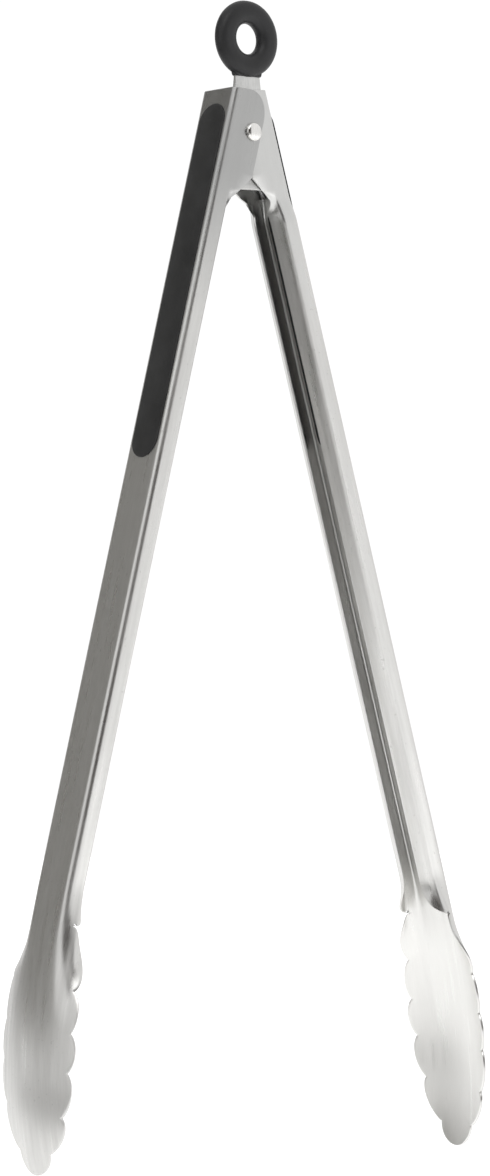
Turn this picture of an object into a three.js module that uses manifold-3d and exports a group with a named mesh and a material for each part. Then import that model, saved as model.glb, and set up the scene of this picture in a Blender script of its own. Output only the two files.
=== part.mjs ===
// Spring loaded kitchen tongs: two pressed channel arms on one rivet, pushed open by a torsion
// spring, locked shut by a sliding plate whose rubber covered eye is also the hanging ring.
// Millimetres, +Z up, X is the way the arms open, Y runs along the rivet.
// The origin is the top of the ring's hole, where a hook carries the tongs.
import * as THREE from 'three';
import { mergeVertices } from 'three/addons/utils/BufferGeometryUtils.js';
import Module from 'manifold-3d';

const wasm = await Module();
wasm.setup();
const { degToRad, clamp, lerp, smoothstep } = THREE.MathUtils;

// ---- driving dimensions ----
const OPEN_ANGLE = 15.8;          // tilt of each arm from the middle plane, in degrees
const GAP = 0.3;                  // clearance between pieces that touch

// Arm, measured down from the rivet along the straight part (s) and across the sheet (v)
const SHEET = 0.9;
const CHANNEL_WIDTH = 17.4;
const NESTED_WIDTH = 15;          // width over the right arm's ears, which sit inside the left's
const CORNER_RADIUS = 2;
const FLANGE_DEPTH = 6.4;
const FOLD_RADIUS = 1.2;
const LIP_LENGTH = 4.8;
const LIP_BEND = degToRad(60);
const WEB_OFFSET = 11.5;          // rivet axis to the outer face of the web
const JOGGLE_START = 24;
const JOGGLE_END = 33;

// Ears around the rivet, x towards the other arm and s down from the rivet
const EAR_EDGE = 3.7;
const EAR_TOP = 13.7;
const EAR_TOP_X = -4.5;
const EAR_TOP_TILT = degToRad(10.5);
const EAR_ROUND = 9;
const EAR_SHOULDER = 15.1;
const EAR_END = 24.2;
const EAR_END_X = -2.6;
const LIP_START = 25;
const LIP_FULL = 29;
const RIVET_HOLE_RADIUS = 2.3;

// Head
const LIP_END = 269;
const FLANGE_END = 278;
const FLANGE_END_V = 11.4;        // what is left of the sheet's half width at the relief
const DISH_START = 263;
const DISH_FULL = 292;
const FRONT_WALL_FADE = 304;      // the channel's walls fade out later than its web
const BACK_WALL_FADE = 296;
const NOTCHES = [297.6, 311.7, 324.9, 339.6, 353];
const NOTCH_HALF_WIDTHS = [16.4, 17.5, 16.9, 14.2, 8.1];
const LOBE_HEIGHT = 2.2;
const LOBE_GROWTH = 0.12;         // each lobe towards the tip stands this much prouder
const LOBE_STAGGER = 2.3;         // the front scallops sit this much lower, the back ones higher
const TIP_RADIUS = 7.7;
const HEAD_SWEEP = 2.1;           // the tip sits this far towards the front
const HEAD_SWEEP_START = 300;
const HEAD_BEND_START = 275;
const HEAD_BEND = degToRad(25.7);
const HEAD_BEND_POWER = 1.3;
const DISH_WIDEST = 305;
const DISH_REACH = 18;             // half width over which the dish turns by its full angle
const DISH_ANGLE = degToRad(28.5);
const DISH_TIP_ANGLE = degToRad(18);
const ARM_LENGTH = NOTCHES.at(-1) + TIP_RADIUS;

// Rivet, sleeve, washer and spring
const SHANK_RADIUS = 2;
const RIVET_HEAD_RADIUS = 3.1;
const RIVET_HEAD_HEIGHT = 1.5;
const SLEEVE_INNER = 2.3;
const SLEEVE_OUTER = 2.85;
const SLEEVE_FRONT = -4.7;
const SLEEVE_BACK = 6.2;
const WASHER_RADIUS = 4;
const WASHER_THICKNESS = 0.6;
const WIRE_RADIUS = 0.65;
const COIL_RADIUS = 3.9;
const COIL_TURNS = 4;
const COIL_PITCH = 1.62;
const COIL_FRONT = -1.85;
const SPRING_LEG_S = 22;

// Lock plate and ring
const PLATE_THICKNESS = 1.2;
const PLATE_FRONT = -6.3;
const LOCK_TRAVEL = 8;
const PLATE_HALF_WIDTH = 5.5;
const NECK_HALF_WIDTH = 5.3;
const NECK_WIDEST = 5.9;
const NECK_WIDEST_Z = 14;
const NECK_TOP_Z = 21;
const HOOK_OUTER = 8.4;
const HOOK_INNER = 7.3;
const HOOK_TOP_Z = -15.3;
const PLATE_BASE_TOP_Z = -17;
const PLATE_BOTTOM_Z = -19.3;
const RING_HEIGHT = 31.9;
const RING_RADIUS = 9.1;
const RING_HALF_WIDTH = 3.9;
const RING_HALF_THICKNESS = 2.9;
const EYE_INNER = 7.2;
const EYE_OUTER = 11.1;

// Catch lanced from each web for the lock plate's hooks
const CATCH_FRONT = -6.2;
const CATCH_BACK = -3.6;
const CATCH_TIP_X = -5.9;
const CATCH_LIP = 1;
const CATCH_TOP_Z = -5.5;
const CATCH_BOTTOM_Z = -8.6;
const CATCH_WINDOW_BOTTOM_Z = -12.4;

// Rubber grip on the back of each web
const GRIP_START = -7;
const GRIP_END = 118.4;
const GRIP_WIDTH = 13.2;
const GRIP_HEIGHT = 0.5;
const SLOT_START = 30;
const SLOT_END = 110;
const SLOT_WIDTH = 7;
const RETAINER_WIDTH = 10.4;
const RETAINER_THICKNESS = 1.1;

const ringHoleTop = RING_HEIGHT + RING_RADIUS - RING_HALF_WIDTH;
const platePlane = PLATE_FRONT + PLATE_THICKNESS / 2;

// ---- materials ----
function steel(color, roughness) {
  return new THREE.MeshStandardMaterial({ color, metalness: 1, roughness });
}

function rubber(color) {
  return new THREE.MeshStandardMaterial({ color, metalness: 0, roughness: 0.6 });
}

// ---- solids and booleans ----
function toSolid(geometry) {
  const bare = geometry.clone();
  bare.deleteAttribute('normal');
  bare.deleteAttribute('uv');
  const merged = mergeVertices(bare, 1e-4);
  const mesh = new wasm.Mesh({
    numProp: 3,
    vertProperties: new Float32Array(merged.attributes.position.array),
    triVerts: new Uint32Array(merged.index.array),
  });
  return new wasm.Manifold(mesh);
}

function toGeometry(solid) {
  const mesh = solid.getMesh();
  const geometry = new THREE.BufferGeometry();
  geometry.setAttribute('position', new THREE.BufferAttribute(mesh.vertProperties, 3));
  geometry.setIndex(new THREE.BufferAttribute(mesh.triVerts, 1));
  geometry.computeVertexNormals();
  return geometry;
}

// A box given by two opposite corners.
function boxSolid(x0, x1, y0, y1, z0, z1) {
  const box = new THREE.BoxGeometry(Math.abs(x1 - x0), Math.abs(y1 - y0), Math.abs(z1 - z0));
  box.translate((x0 + x1) / 2, (y0 + y1) / 2, (z0 + z1) / 2);
  return toSolid(box);
}

// A closed profile of (radius, y) points turned about the rivet's axis.
function turned(profile, segments) {
  const points = profile.map(([r, y]) => new THREE.Vector2(r, y));
  return new THREE.LatheGeometry(points, segments);
}

// An outline drawn in x and z, given thickness along Y from the plane y0.
function plate(shape, y0, thickness) {
  const curveSegments = 10;
  const options = { depth: thickness, bevelEnabled: false, curveSegments };
  const geometry = new THREE.ExtrudeGeometry(shape, options);
  geometry.rotateX(Math.PI / 2);
  geometry.translate(0, y0 + thickness, 0);
  return geometry;
}

// ---- arm sheet ----
// Where each flat and bend of the channel ends, measured from the middle of the web.
function channelStops(halfWidth) {
  const bendRadius = CORNER_RADIUS - SHEET / 2;
  const webEnd = halfWidth - SHEET / 2 - bendRadius;
  const cornerEnd = webEnd + bendRadius * Math.PI / 2;
  const foldRun = FOLD_RADIUS * Math.tan(LIP_BEND / 2);
  const flangeEnd = cornerEnd + FLANGE_DEPTH - SHEET / 2 - bendRadius - foldRun;
  const foldEnd = flangeEnd + FOLD_RADIUS * LIP_BEND;
  return { webEnd, cornerEnd, flangeEnd, foldEnd, lipEdge: foldEnd + LIP_LENGTH - foldRun };
}

function halfWidthAt(s, nested) {
  if (!nested) return CHANNEL_WIDTH / 2;
  const out = smoothstep(s, JOGGLE_START, JOGGLE_END);
  return lerp(NESTED_WIDTH, CHANNEL_WIDTH, out) / 2;
}

// Half width of the flat sheet at a station: ear, lip, relief, scalloped head and round tip.
function edgeAt(row, stops) {
  const { s, lift } = row;
  const earSide = stops.cornerEnd + WEB_OFFSET - CORNER_RADIUS;
  if (lift > 0) {
    const across = Math.sqrt(1 - lift * lift);
    return earSide + lerp(EAR_TOP_X, EAR_EDGE, across);
  }
  if (s <= EAR_SHOULDER) return earSide + EAR_EDGE;
  if (s <= EAR_END) {
    const down = (s - EAR_SHOULDER) / (EAR_END - EAR_SHOULDER);
    return earSide + lerp(EAR_EDGE, EAR_END_X, down);
  }
  if (s <= LIP_END) {
    const out = smoothstep(s, LIP_START, LIP_FULL);
    return lerp(earSide + EAR_END_X, stops.lipEdge, out);
  }
  if (s <= FLANGE_END) {
    const down = (s - LIP_END) / (FLANGE_END - LIP_END);
    return lerp(FLANGE_END_V, stops.lipEdge, Math.sqrt(1 - down * down));
  }
  if (s <= NOTCHES[0]) return shoulderEdge(s);
  if (s >= NOTCHES.at(-1)) {
    const down = (s - NOTCHES.at(-1)) / TIP_RADIUS;
    return Math.max(TIP_RADIUS * Math.sqrt(Math.max(1 - down * down, 0)), 0.4);
  }
  return lobeEdge(s);
}

// The head's first lobe grows out of the relief and falls to the first notch.
function shoulderEdge(s) {
  const u = (s - FLANGE_END) / (NOTCHES[0] - FLANGE_END);
  const line = lerp(FLANGE_END_V + 0.9, NOTCH_HALF_WIDTHS[0], Math.sqrt(u));
  const late = Math.pow(u, 1.7);
  return line + LOBE_HEIGHT * Math.pow(4 * late * (1 - late), 0.8);
}

function lobeEdge(s) {
  const i = NOTCHES.findIndex((notch, k) => s >= notch && s <= NOTCHES[k + 1]);
  const u = (s - NOTCHES[i]) / (NOTCHES[i + 1] - NOTCHES[i]);
  const line = lerp(NOTCH_HALF_WIDTHS[i], NOTCH_HALF_WIDTHS[i + 1], u);
  const height = LOBE_HEIGHT * (1 + LOBE_GROWTH * i);
  return line + height * Math.pow(4 * u * (1 - u), 0.75);
}

// How far a station slips down the front edge and up the back one.
function staggerAt(s) {
  const grows = smoothstep(s, FLANGE_END, NOTCHES[0]);
  return LOBE_STAGGER * grows * (1 - smoothstep(s, NOTCHES[3], ARM_LENGTH));
}

// The dish narrows towards the tip without following the scallops.
function dishReachAt(s) {
  const u = clamp((s - DISH_WIDEST) / (ARM_LENGTH + 4 - DISH_WIDEST), 0, 1);
  return DISH_REACH * Math.sqrt(1 - Math.pow(u, 2.6));
}

// How far the sheet has turned from the web's plane at v, in radians.
function turnAt(s, v, stops, wallFade) {
  const corner = clamp((v - stops.webEnd) / (stops.cornerEnd - stops.webEnd), 0, 1);
  const fold = clamp((v - stops.flangeEnd) / (stops.foldEnd - stops.flangeEnd), 0, 1);
  const folded = smoothstep(s, EAR_END - 3, LIP_FULL);
  const channel = corner * Math.PI / 2 + fold * folded * LIP_BEND;
  const down = clamp((s - DISH_FULL) / (ARM_LENGTH - DISH_FULL), 0, 1);
  const dish = lerp(DISH_ANGLE, DISH_TIP_ANGLE, down) * v / dishReachAt(s);
  const full = lerp(DISH_FULL, wallFade, smoothstep(v, stops.webEnd, stops.cornerEnd + 3));
  return lerp(channel, dish, smoothstep(s, DISH_START, full));
}

// The section through the sheet's middle at v: x into the channel, y across, and the turn.
function sectionAt(s, v, stops, wallFade) {
  const steps = 48;
  let x = 0;
  let y = 0;
  for (let k = 0; k < steps; k++) {
    const turn = turnAt(s, v * (k + 0.5) / steps, stops, wallFade);
    x += Math.sin(turn) * v / steps;
    y += Math.cos(turn) * v / steps;
  }
  return { x, y, turn: turnAt(s, v, stops, wallFade) };
}

// The middle of the web: straight, then bending inwards along the head.
function spineAt(s) {
  const start = { x: SHEET / 2 - WEB_OFFSET, z: -Math.min(s, HEAD_BEND_START), lean: 0 };
  const run = s - HEAD_BEND_START;
  if (run <= 0) return start;
  const steps = 60;
  const length = ARM_LENGTH - HEAD_BEND_START;
  const leanAt = (r) => HEAD_BEND * Math.pow(r / length, HEAD_BEND_POWER);
  for (let k = 0; k < steps; k++) {
    const lean = leanAt(run * (k + 0.5) / steps);
    start.x += Math.sin(lean) * run / steps;
    start.z -= Math.cos(lean) * run / steps;
  }
  start.lean = leanAt(run);
  return start;
}

// Stations down the arm: the ears' rounded top, the straight sides, then the head's lobes.
function armRows() {
  const rows = [];
  const capRows = 5;
  for (let k = 0; k < capRows; k++) {
    rows.push({ s: EAR_ROUND - EAR_TOP, lift: Math.cos(k / capRows * Math.PI / 2) });
  }
  const straight = [EAR_ROUND - EAR_TOP, EAR_SHOULDER, 20, EAR_END, LIP_START, 27.5, LIP_FULL,
    JOGGLE_END, DISH_START, 266, LIP_END];
  const relief = [0.35, 0.65, 0.87, 0.97, 1].map((u) => lerp(LIP_END, FLANGE_END, u));
  const shoulder = [0.04, 0.15, 0.3, 0.5, 0.7, 0.87].map((u) => lerp(FLANGE_END, NOTCHES[0], u));
  for (const s of [...straight, ...relief, ...shoulder]) rows.push({ s, lift: 0 });
  for (let i = 0; i + 1 < NOTCHES.length; i++) {
    for (const u of [0, 0.08, 0.28, 0.5, 0.72, 0.92]) {
      rows.push({ s: lerp(NOTCHES[i], NOTCHES[i + 1], u), lift: 0 });
    }
  }
  for (let k = 0; k <= 6; k++) {
    rows.push({ s: NOTCHES.at(-1) + TIP_RADIUS * Math.sin(k / 6 * Math.PI / 2), lift: 0 });
  }
  return rows;
}

// Columns across half the sheet: on the bends in the channel, evenly spread in the head.
function columnsAt(row, edge, stops) {
  const cornerMiddle = (stops.webEnd + stops.cornerEnd) / 2;
  const bends = [0, stops.webEnd, cornerMiddle, stops.cornerEnd, stops.flangeEnd, stops.foldEnd];
  const last = bends.length;
  const spread = smoothstep(row.s, LIP_END, DISH_FULL);
  const columns = bends.map((bend, j) => {
    const inChannel = Math.min(bend, edge - 0.3 * (last - j));
    return lerp(inChannel, edge * j / last, spread);
  });
  return [...columns, edge];
}

// A point of the arm's sheet, offset from the sheet's middle by n towards the inside.
function armPoint(row, v, n, side, edge, stops) {
  const across = Math.sign(v);
  const s = row.s - staggerAt(row.s) * v / edge;
  const wallFade = v < 0 ? FRONT_WALL_FADE : BACK_WALL_FADE;
  const { x, y, turn } = sectionAt(s, Math.abs(v), stops, wallFade);
  const spine = spineAt(s);
  const depth = x + n * Math.cos(turn);
  const swept = clamp((s - HEAD_SWEEP_START) / (ARM_LENGTH - HEAD_SWEEP_START), 0, 1);
  const width = (y - n * Math.sin(turn)) * across - HEAD_SWEEP * Math.pow(swept, 2.2);
  const inward = spine.x + depth * Math.cos(spine.lean);
  let z = spine.z + depth * Math.sin(spine.lean);
  if (row.lift > 0) {
    const top = EAR_TOP + (inward - EAR_TOP_X) * Math.tan(EAR_TOP_TILT);
    z = lerp(z, top, row.lift);
  }
  return [-side * inward, width, z];
}

// The whole arm as one closed sheet. side is -1 for the left arm and 1 for the right.
function armSheet(side) {
  const rows = armRows();
  const positions = [];
  let width = 0;
  for (const row of rows) {
    const stops = channelStops(halfWidthAt(row.s, side > 0));
    const edge = edgeAt(row, stops);
    const half = columnsAt(row, edge, stops);
    const all = [...half.slice(1).reverse().map((v) => -v), ...half];
    width = all.length;
    for (const n of [-SHEET / 2, SHEET / 2]) {
      for (const v of all) positions.push(...armPoint(row, v, n, side, edge, stops));
    }
  }
  const at = (i, layer, j) => (2 * i + layer) * width + j;
  const triangles = [];
  const quad = (a, b, c, d) => {
    if (side < 0) triangles.push(a, b, c, a, c, d);
    else triangles.push(a, c, b, a, d, c);
  };
  for (let i = 0; i + 1 < rows.length; i++) {
    for (let j = 0; j + 1 < width; j++) {
      quad(at(i, 0, j), at(i, 0, j + 1), at(i + 1, 0, j + 1), at(i + 1, 0, j));
      quad(at(i, 1, j), at(i + 1, 1, j), at(i + 1, 1, j + 1), at(i, 1, j + 1));
    }
    const j = width - 1;
    quad(at(i, 0, 0), at(i + 1, 0, 0), at(i + 1, 1, 0), at(i, 1, 0));
    quad(at(i, 0, j), at(i, 1, j), at(i + 1, 1, j), at(i + 1, 0, j));
  }
  const end = rows.length - 1;
  for (let j = 0; j + 1 < width; j++) {
    quad(at(0, 0, j), at(0, 1, j), at(0, 1, j + 1), at(0, 0, j + 1));
    quad(at(end, 0, j), at(end, 0, j + 1), at(end, 1, j + 1), at(end, 1, j));
  }
  const geometry = new THREE.BufferGeometry();
  geometry.setAttribute('position', new THREE.Float32BufferAttribute(positions, 3));
  geometry.setIndex(triangles);
  return toSolid(geometry);
}

// The slit between each flange's end and the head, slanting down towards the web.
function reliefSlit(side, across) {
  const run = 6.5;
  const slit = new THREE.BoxGeometry(run, 10, 0.8);
  slit.rotateY(-side * -degToRad(42));
  const x = side * (WEB_OFFSET - 7.2);
  slit.translate(x, across * (5 + 6.6), -FLANGE_END - 1.2);
  return toSolid(slit);
}

function arm(side) {
  let solid = armSheet(side);
  const hole = new THREE.CylinderGeometry(RIVET_HOLE_RADIUS, RIVET_HOLE_RADIUS, 30, 24);
  solid = solid.subtract(toSolid(hole));
  solid = solid.subtract(reliefSlit(side, -1)).subtract(reliefSlit(side, 1));
  const outside = side * (WEB_OFFSET + 1);
  const inside = side * (WEB_OFFSET - SHEET - 1);
  const slot = boxSolid(outside, inside, -SLOT_WIDTH / 2, SLOT_WIDTH / 2, -SLOT_START, -SLOT_END);
  const window = boxSolid(outside, inside, CATCH_FRONT, CATCH_BACK,
    CATCH_TOP_Z - SHEET, CATCH_WINDOW_BOTTOM_Z);
  const arms = boxSolid(side * (WEB_OFFSET - 0.3), -side * CATCH_TIP_X, CATCH_FRONT, CATCH_BACK,
    CATCH_TOP_Z, CATCH_TOP_Z - SHEET);
  const lip = boxSolid(-side * CATCH_TIP_X, side * (CATCH_LIP - CATCH_TIP_X), CATCH_FRONT,
    CATCH_BACK, CATCH_TOP_Z, CATCH_BOTTOM_Z);
  solid = solid.subtract(slot).subtract(window).add(arms).add(lip);
  return toGeometry(solid);
}

// ---- rubber grip ----
function tongue(halfWidth, start, end) {
  const shape = new THREE.Shape();
  shape.absarc(0, -start - halfWidth, halfWidth, 0, Math.PI, false);
  shape.absarc(0, -end + halfWidth, halfWidth, Math.PI, 2 * Math.PI, false);
  shape.closePath();
  return shape;
}

// A tongue shaped slab standing on the web, from x0 to x1 outwards.
function slab(side, shape, x0, x1) {
  const options = { depth: x1 - x0, bevelEnabled: false, curveSegments: 10 };
  const geometry = new THREE.ExtrudeGeometry(shape, options);
  geometry.rotateX(Math.PI / 2);
  geometry.rotateZ(side * Math.PI / 2);
  geometry.translate(side * x0, 0, 0);
  return geometry;
}

function grip(side) {
  const base = WEB_OFFSET + GAP;
  const pad = slab(side, tongue(GRIP_WIDTH / 2, GRIP_START, GRIP_END), base, base + GRIP_HEIGHT);
  const ribHalf = SLOT_WIDTH / 2 - GAP;
  const rib = boxSolid(side * (base + 0.2), side * (WEB_OFFSET - SHEET), -ribHalf, ribHalf,
    -SLOT_START - GAP, -SLOT_END + GAP);
  return toGeometry(toSolid(pad).add(rib));
}

function retainer(side) {
  const outer = WEB_OFFSET - SHEET - GAP;
  const shape = tongue(RETAINER_WIDTH / 2, SLOT_START - 3, SLOT_END + 3);
  return slab(side, shape, outer - RETAINER_THICKNESS, outer);
}

// ---- pivot ----
function rivet() {
  const front = -CHANNEL_WIDTH / 2 - GAP;
  const back = CHANNEL_WIDTH / 2 + 2 * GAP + WASHER_THICKNESS;
  const profile = [[0, front - RIVET_HEAD_HEIGHT]];
  for (let k = 1; k <= 4; k++) {
    const a = k / 4 * Math.PI / 2;
    const y = front - RIVET_HEAD_HEIGHT * Math.cos(a) * 0.85 - RIVET_HEAD_HEIGHT * 0.15;
    profile.push([RIVET_HEAD_RADIUS * Math.sin(a), y]);
  }
  profile.push([RIVET_HEAD_RADIUS, front], [SHANK_RADIUS, front], [SHANK_RADIUS, back]);
  profile.push([RIVET_HEAD_RADIUS, back], [RIVET_HEAD_RADIUS, back + 0.3]);
  profile.push([RIVET_HEAD_RADIUS * 0.75, back + 0.95], [0, back + 1.2]);
  return turned(profile, 24);
}

function ringOf(inner, outer, y0, y1) {
  return turned([[inner, y0], [outer, y0], [outer, y1], [inner, y1], [inner, y0]], 24);
}

// One wire: a leg down to the left web, the coil round the sleeve, a leg to the right web.
class SpringWire extends THREE.Curve {
  constructor() {
    super();
    const reach = WEB_OFFSET - SHEET - GAP - WIRE_RADIUS;
    const tilt = degToRad(OPEN_ANGLE);
    const x = reach * Math.cos(tilt) + SPRING_LEG_S * Math.sin(tilt);
    const z = reach * Math.sin(tilt) - SPRING_LEG_S * Math.cos(tilt);
    this.leave = Math.atan2(z, x) + Math.acos(COIL_RADIUS / Math.hypot(x, z));
    this.foot = { x, z };
    this.turns = COIL_TURNS * 2 * Math.PI + Math.PI - 2 * this.leave;
    this.legLength = Math.sqrt(x * x + z * z - COIL_RADIUS * COIL_RADIUS);
    this.coilLength = this.turns * COIL_RADIUS;
  }

  getPoint(t, target = new THREE.Vector3()) {
    const total = 2 * this.legLength + this.coilLength;
    const run = t * total;
    const coilBack = COIL_FRONT + COIL_PITCH * this.turns / (2 * Math.PI);
    const start = Math.PI - this.leave;
    const leftX = COIL_RADIUS * Math.cos(start);
    const z = COIL_RADIUS * Math.sin(start);
    if (run <= this.legLength) {
      const u = run / this.legLength;
      return target.set(lerp(-this.foot.x, leftX, u), COIL_FRONT, lerp(this.foot.z, z, u));
    }
    if (run >= this.legLength + this.coilLength) {
      const u = (run - this.legLength - this.coilLength) / this.legLength;
      return target.set(lerp(-leftX, this.foot.x, u), coilBack, lerp(z, this.foot.z, u));
    }
    const u = (run - this.legLength) / this.coilLength;
    const angle = start - this.turns * u;
    const y = lerp(COIL_FRONT, coilBack, u);
    return target.set(COIL_RADIUS * Math.cos(angle), y, COIL_RADIUS * Math.sin(angle));
  }
}

function torsionSpring() {
  const section = new THREE.Shape();
  section.absarc(0, 0, WIRE_RADIUS, 0, 2 * Math.PI, false);
  const wire = new SpringWire();
  const options = { steps: 110, extrudePath: wire, curveSegments: 4 };
  return new THREE.ExtrudeGeometry(section, options);
}

// ---- lock plate and ring ----
function lockPlate() {
  const shape = new THREE.Shape();
  const side = [[NECK_HALF_WIDTH, NECK_TOP_Z], [NECK_WIDEST, NECK_WIDEST_Z],
    [PLATE_HALF_WIDTH, NECK_WIDEST_Z - 3], [PLATE_HALF_WIDTH, PLATE_BASE_TOP_Z],
    [HOOK_INNER, PLATE_BASE_TOP_Z], [HOOK_INNER, HOOK_TOP_Z], [HOOK_OUTER, HOOK_TOP_Z],
    [HOOK_OUTER, PLATE_BOTTOM_Z]];
  const outline = [...side, ...side.map(([x, z]) => [-x, z]).reverse()];
  shape.setFromPoints(outline.map(([x, z]) => new THREE.Vector2(x, z)));
  const slotHalf = SHANK_RADIUS + GAP;
  const slot = new THREE.Path();
  slot.absarc(0, 0, slotHalf, 0, Math.PI, false);
  slot.absarc(0, -LOCK_TRAVEL, slotHalf, Math.PI, 2 * Math.PI, false);
  slot.closePath();
  shape.holes.push(slot);
  const eye = new THREE.Shape();
  eye.absarc(0, RING_HEIGHT, EYE_OUTER, 0, 2 * Math.PI, false);
  const hole = new THREE.Path();
  hole.absarc(0, RING_HEIGHT, EYE_INNER, 0, 2 * Math.PI, true);
  eye.holes.push(hole);
  const body = toSolid(plate(shape, PLATE_FRONT, PLATE_THICKNESS));
  return toGeometry(body.add(toSolid(plate(eye, PLATE_FRONT, PLATE_THICKNESS))));
}

// The rubber cover: an oval section ring with a channel inside for the plate's steel eye.
function ringCover() {
  const profile = [];
  for (let k = 0; k <= 14; k++) {
    const a = -k / 14 * 2 * Math.PI;
    const r = RING_RADIUS + RING_HALF_WIDTH * Math.cos(a);
    profile.push([r, RING_HALF_THICKNESS * Math.sin(a)]);
  }
  const torus = toSolid(turned(profile.reverse(), 36).translate(0, platePlane, RING_HEIGHT));
  const half = PLATE_THICKNESS / 2 + GAP;
  const eyeRoom = ringOf(EYE_INNER - GAP, EYE_OUTER + GAP, platePlane - half, platePlane + half);
  eyeRoom.translate(0, 0, RING_HEIGHT);
  const neck = NECK_HALF_WIDTH + GAP;
  const neckTop = RING_HEIGHT - (EYE_INNER + EYE_OUTER) / 2;
  const neckRoom = boxSolid(-neck, neck, platePlane - half, platePlane + half, 0, neckTop);
  return toGeometry(torus.subtract(toSolid(eyeRoom)).subtract(neckRoom));
}

// ---- assembly ----
const tongs = new THREE.Group();
const pivot = new THREE.Group();
pivot.position.set(0, -platePlane, -ringHoleTop);
tongs.add(pivot);

function place(parent, name, geometry, material) {
  const mesh = new THREE.Mesh(geometry, material);
  mesh.name = name;
  parent.add(mesh);
}

place(pivot, 'ring_cover', ringCover(), rubber(0x1d1d1e));
place(pivot, 'lock_plate', lockPlate(), steel(0xb5b4b0, 0.4));
place(pivot, 'pivot_rivet', rivet(), steel(0xdedcd8, 0.25));
const washerFront = CHANNEL_WIDTH / 2 + GAP;
const washer = ringOf(SLEEVE_INNER, WASHER_RADIUS, washerFront, washerFront + WASHER_THICKNESS);
place(pivot, 'pivot_washer', washer, steel(0xc8c7c3, 0.35));
const sleeve = ringOf(SLEEVE_INNER, SLEEVE_OUTER, SLEEVE_FRONT, SLEEVE_BACK);
place(pivot, 'pivot_sleeve', sleeve, steel(0xa9a8a4, 0.45));
place(pivot, 'torsion_spring', torsionSpring(), steel(0x8d8c8a, 0.35));

for (const [name, side] of [['left', -1], ['right', 1]]) {
  const swing = new THREE.Group();
  swing.rotation.y = -side * degToRad(OPEN_ANGLE);
  pivot.add(swing);
  place(swing, `${name}_arm`, arm(side), steel(0xc4c1bb, 0.38));
  place(swing, `${name}_grip`, grip(side), rubber(0x232324));
  place(swing, `${name}_grip_retainer`, retainer(side), rubber(0x1b1b1c));
}

export default tongs;
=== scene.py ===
"""Looks of the spring loaded kitchen tongs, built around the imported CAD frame.

Lengths in the constants are millimetres, measured from the rivet's axis, and are turned into
metres of the row frame as each mesh is made. s runs down an arm and v runs across its sheet.
"""
import math

import bpy
import numpy as np
from mathutils import Matrix, Vector


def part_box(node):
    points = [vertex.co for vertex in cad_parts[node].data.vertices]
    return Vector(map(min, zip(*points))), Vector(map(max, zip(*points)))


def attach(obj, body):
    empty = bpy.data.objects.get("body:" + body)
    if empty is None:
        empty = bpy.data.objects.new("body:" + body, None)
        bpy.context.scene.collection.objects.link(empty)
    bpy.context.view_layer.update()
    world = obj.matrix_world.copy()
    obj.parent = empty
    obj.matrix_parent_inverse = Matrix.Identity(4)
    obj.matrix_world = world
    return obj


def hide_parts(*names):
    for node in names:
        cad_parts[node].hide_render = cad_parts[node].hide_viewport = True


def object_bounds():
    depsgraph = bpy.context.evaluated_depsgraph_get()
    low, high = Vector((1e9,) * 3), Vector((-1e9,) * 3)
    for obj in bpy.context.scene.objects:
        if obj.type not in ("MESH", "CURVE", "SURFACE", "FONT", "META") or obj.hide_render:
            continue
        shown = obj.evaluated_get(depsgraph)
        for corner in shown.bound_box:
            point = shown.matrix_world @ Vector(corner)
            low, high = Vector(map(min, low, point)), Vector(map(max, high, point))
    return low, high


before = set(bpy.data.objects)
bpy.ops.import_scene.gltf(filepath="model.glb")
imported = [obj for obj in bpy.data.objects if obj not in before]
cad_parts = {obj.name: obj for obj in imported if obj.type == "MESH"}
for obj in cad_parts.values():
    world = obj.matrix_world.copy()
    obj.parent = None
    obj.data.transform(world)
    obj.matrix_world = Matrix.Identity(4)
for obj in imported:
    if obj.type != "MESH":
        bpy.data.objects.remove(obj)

cad_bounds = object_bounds()

# ---- dimensions, the frame's own except where a comment says otherwise ----
OPEN_ANGLE = math.radians(15.8)
SHEET = 0.9
CHANNEL_WIDTH = 17.4
NESTED_WIDTH = 15.0
CORNER_RADIUS = 2.0
FLANGE_DEPTH = 6.4
FOLD_RADIUS = 1.2
LIP_LENGTH = 4.8
LIP_BEND = math.radians(60)
WEB_OFFSET = 11.5
JOGGLE = (24.0, 33.0)
EAR_EDGE = 3.7
EAR_TOP = 13.7
EAR_TOP_X = -4.5
EAR_TOP_TILT = math.radians(10.5)
EAR_ROUND = 9.0
EAR_SHOULDER = 15.1
EAR_END = 24.2
EAR_END_X = -2.6
LIP_START = 25.0
LIP_FULL = 29.0
LIP_END = 269.0
FLANGE_END = 278.0
FLANGE_END_V = 11.4
DISH_START = 263.0
DISH_FULL = 292.0
FRONT_WALL_FADE = {-1: 314.0, 1: 298.0}   # left and right arm; the frame has 304 on both
BACK_WALL_FADE = 296.0
NOTCHES = [297.6, 311.7, 324.9, 339.6, 353.0]
NOTCH_HALF_WIDTHS = [16.4, 17.5, 16.9, 14.2, 8.1]
LOBE_HEIGHT = 2.2
LOBE_GROWTH = 0.12
LOBE_STAGGER = 2.3
TIP_RADIUS = 7.7
HEAD_SWEEP = 2.1
HEAD_SWEEP_START = 300.0
HEAD_BEND_START = 275.0
HEAD_BEND = math.radians(25.7)
HEAD_BEND_POWER = 1.3
DISH_WIDEST = 305.0
DISH_REACH = 18.0
DISH_ANGLE = math.radians(28.5)
DISH_TIP_ANGLE = math.radians(18)
ARM_LENGTH = NOTCHES[-1] + TIP_RADIUS
EDGE_ROUND = 0.26                 # rounding left on the sheet's cut edges

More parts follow.
